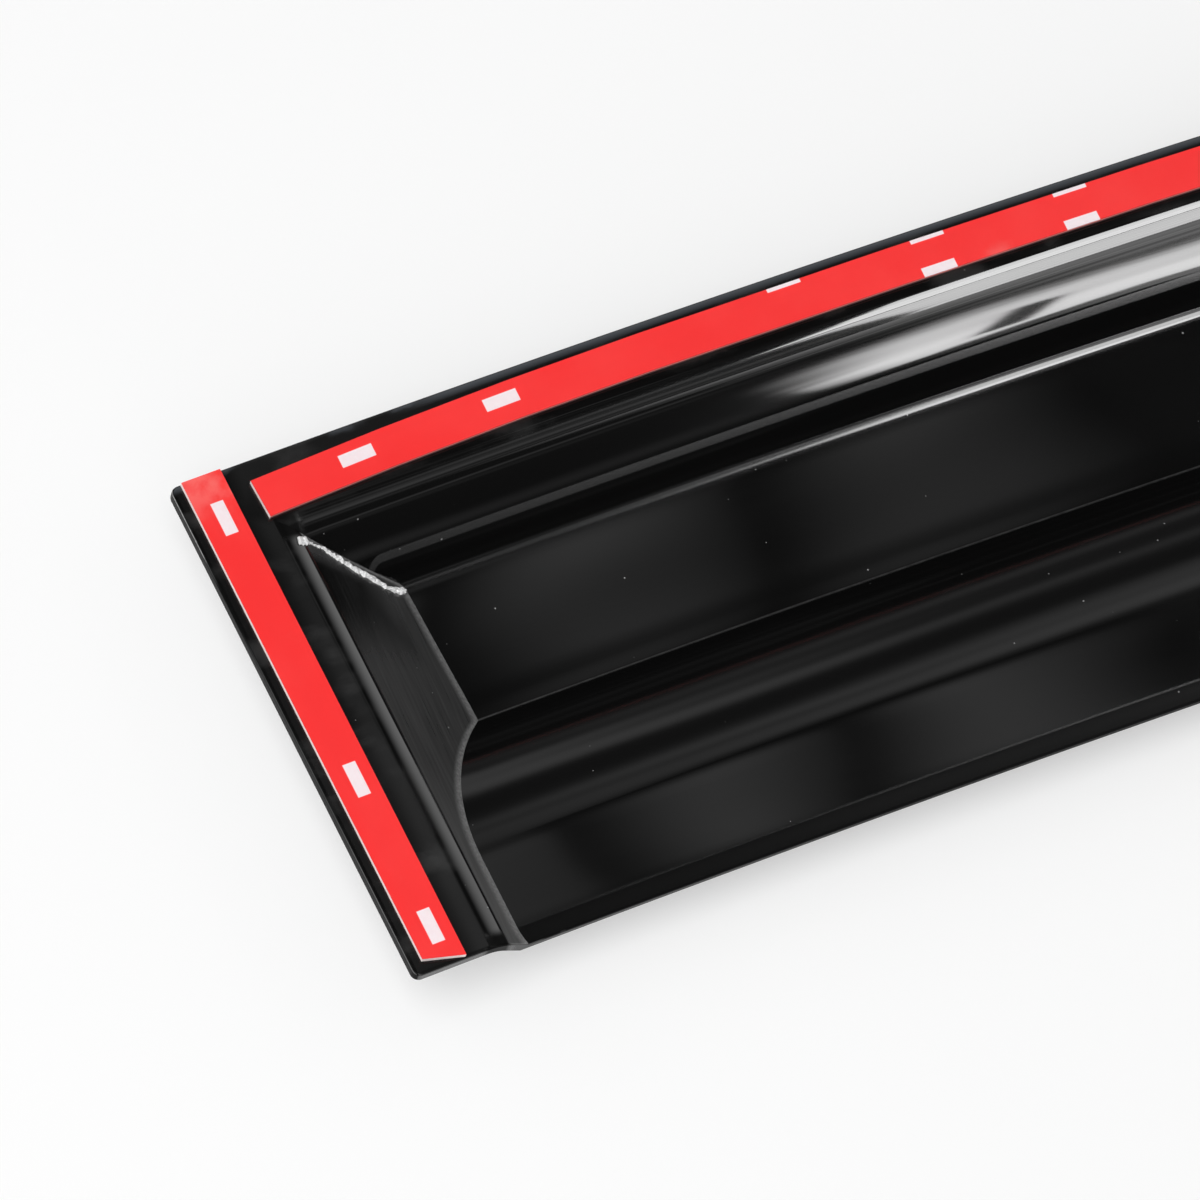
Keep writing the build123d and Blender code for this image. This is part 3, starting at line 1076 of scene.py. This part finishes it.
def card_paint(name, size, level, soft, streak):
    """Glow that fades out towards the card's edges, dimmed by streaks along its width."""
    paint = Paint(name)
    nodes = paint.tree.nodes
    nodes.remove(paint.shader)
    glow = nodes.new("ShaderNodeEmission")
    streaks = paint.step(paint.noise(STREAK_SIZE, stretch=STREAK_STRETCH, detail=3), *STREAK_STEP)
    across, up = paint.axes(paint.place)[:2]
    ragged = paint.math("MULTIPLY", streaks, -streak * STREAK_REACH)
    aside = paint.math("ADD", paint.math("ABSOLUTE", across), ragged)
    half, rise = size[0] / 2, size[1] / 2
    ends, low, high = soft
    shown = paint.both(paint.blend(streaks, 1 - streak, 1.0), paint.step(aside, half, half - ends),
                       paint.step(up, -rise, low - rise), paint.step(up, rise, rise - high))
    bounces = nodes.new("ShaderNodeLightPath").outputs["Glossy Depth"]
    shown = paint.both(shown, paint.step(bounces, *FIRST_REFLECTION_STEP))
    paint.feed(glow.inputs["Strength"], paint.math("MULTIPLY", shown, level))
    paint.feed(nodes["Material Output"].inputs["Surface"], glow.outputs[0])
    return paint.material


DOWNWARD = Vector((0, 0, -1))
REARWARD = Vector((0, 1, 0))
LEFTWARD = Vector((-1, 0, 0))


def flat_mesh(name, width, height, material):
    """Rectangle about the origin."""
    half, rise = width / 2, height / 2
    mesh = bpy.data.meshes.new(name)
    corners = [(-half, -rise, 0), (half, -rise, 0), (half, rise, 0), (-half, rise, 0)]
    mesh.from_pydata(corners, [], [(0, 1, 2, 3)])
    mesh.materials.append(material)
    return mesh


def reflection_card(name, place, facing, size, level, soft, turn=0.0, streak=0.0):
    """Card that shows only as a reflection in the gloss.

    The three soft values are the fades at its ends, its low side and its high side. Its turn is in degrees.
    """
    mesh = flat_mesh(name, *size, card_paint(name, size, level, soft, streak))
    made = bpy.data.objects.new(name, mesh)
    aim = facing.to_track_quat("-Z", "Y").to_matrix().to_4x4()
    made.matrix_world = Matrix.Translation(place) @ aim @ Matrix.Rotation(math.radians(turn), 4, "Z")
    made.visible_camera = False
    made.visible_diffuse = False
    made.visible_shadow = False
    bpy.context.scene.collection.objects.link(made)


CEILING_PLACES = (0.22, 0.33)


def reflection_cards():
    """Cards that draw the bright shapes on the shoulder, the upper wall and the end's bend."""
    reflection_card("near_card", (0.125, 0.048, 0.82), DOWNWARD, size=(0.135, 0.335), level=15.0,
                    soft=(0.01, 0.02, 0.02), turn=-4.5, streak=0.15)
    reflection_card("far_card", (0.215, -0.44, 0.81), DOWNWARD, size=(0.14, 0.71), level=11.5,
                    soft=(0.01, 0.15, 0.03), turn=16.0, streak=0.25)
    reflection_card("gap_card", (0.42, -0.62, 0.39), REARWARD, size=(0.74, 0.72), level=3.0,
                    soft=(0.14, 0.02, 0.02), streak=0.5)
    reflection_card("front_card", (0.10, -0.60, 0.118), REARWARD, size=(0.17, 0.092), level=12.0,
                    soft=(0.04, 0.006, 0.02), turn=8.0, streak=0.25)
    reflection_card("dark_slit", (0.068, -0.59, 0.104), REARWARD, size=(0.013, 0.050), level=0.0,
                    soft=(0.001, 0.001, 0.001), turn=-16.0)
    reflection_card("side_card", (0.45, 0.36, 0.60), LEFTWARD, size=(0.90, 0.90), level=1.6,
                    soft=(0.45, 0.02, 0.80))
    for place in CEILING_PLACES:
        reflection_card(f"ceiling_card_{place}", (place, 0.52, 1.5), DOWNWARD, size=(0.13, 0.30), level=0.5,
                        soft=(0.065, 0.15, 0.15))


CLOUD_SCALE = 5.0
CLOUD_STEP = (0.40, 0.68)
DIM_LEVELS = (0.03, 0.60)
BRIGHT_LEVEL = 1.05
BRIGHT_SIDE = (-0.95, -0.30, 0.0)
BRIGHT_STEP = (-0.05, 0.45)


def studio_world():
    """Surroundings that are bright on the left of the part and dim and uneven on its right."""
    world = bpy.data.worlds.new("studio")
    bpy.context.scene.world = world
    world.use_nodes = True
    nodes, links = world.node_tree.nodes, world.node_tree.links
    direction = nodes.new("ShaderNodeTexCoord").outputs["Generated"]

    def ramp(value, low, high, first, last):
        node = nodes.new("ShaderNodeMapRange")
        node.interpolation_type = "SMOOTHSTEP"
        links.new(value, node.inputs["Value"])
        for name, number in zip(("From Min", "From Max", "To Min", "To Max"), (low, high, first, last)):
            node.inputs[name].default_value = number
        return node.outputs["Result"]

    toward = nodes.new("ShaderNodeVectorMath")
    toward.operation = "DOT_PRODUCT"
    links.new(direction, toward.inputs[0])
    toward.inputs[1].default_value = BRIGHT_SIDE
    clouds = nodes.new("ShaderNodeTexNoise")
    links.new(direction, clouds.inputs["Vector"])
    clouds.inputs["Scale"].default_value = CLOUD_SCALE
    clouds.inputs["Detail"].default_value = 1.0
    mix = nodes.new("ShaderNodeMix")
    links.new(ramp(toward.outputs["Value"], *BRIGHT_STEP, 0.0, 1.0), mix.inputs[0])
    links.new(ramp(clouds.outputs["Fac"], *CLOUD_STEP, *DIM_LEVELS), mix.inputs[2])
    mix.inputs[3].default_value = BRIGHT_LEVEL
    links.new(mix.outputs[0], nodes["Background"].inputs["Color"])


FLOOR_SIZE = 24.0


def studio_floor():
    """Level floor under the part."""
    made = bpy.data.objects.new("floor", flat_mesh("floor", FLOOR_SIZE, FLOOR_SIZE, floor_paint()))
    bpy.context.scene.collection.objects.link(made)


def photo_camera():
    """Camera at the photograph's viewing angle."""
    lens = bpy.data.cameras.new("camera")
    lens.lens = lens.sensor_width * VIEW_DISTANCE / VIEW_WIDTH
    made = bpy.data.objects.new("camera", lens)
    right = VIEW_UP.cross(VIEW_BACK).normalized()
    up = VIEW_BACK.cross(right).normalized()
    turn = Matrix((right, up, VIEW_BACK)).transposed()
    made.matrix_world = Matrix.Translation(VIEW_AIM + VIEW_BACK * VIEW_DISTANCE) @ turn.to_4x4()
    bpy.context.scene.collection.objects.link(made)
    bpy.context.scene.camera = made


bpy.context.scene.view_settings.view_transform = "Standard"
shell = piece("visor_shell", visor_shell(), plastic_paint())
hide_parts("visor_body")
foam = foam_paint()
top_film, end_film = film_paint("red_film_top", top_marks), film_paint("red_film_end", end_marks)
for strip, film in (("top", top_film), ("left_end", end_film), ("right_end", end_film)):
    dress(f"{strip}_tape_foam", foam)
    dress(f"{strip}_tape_liner", film)

# Bead colour: painted highlight of the glinting mitre corners
glint_paint = glint_bead_paint()
for side, name in ((-1, "left"), (1, "right")):
    bead = f"{name}_mitre_bead"
    piece(bead, mitre_bead(bead, side), glint_paint)

key_lamp()
reflection_cards()
studio_world()
studio_floor()
photo_camera()
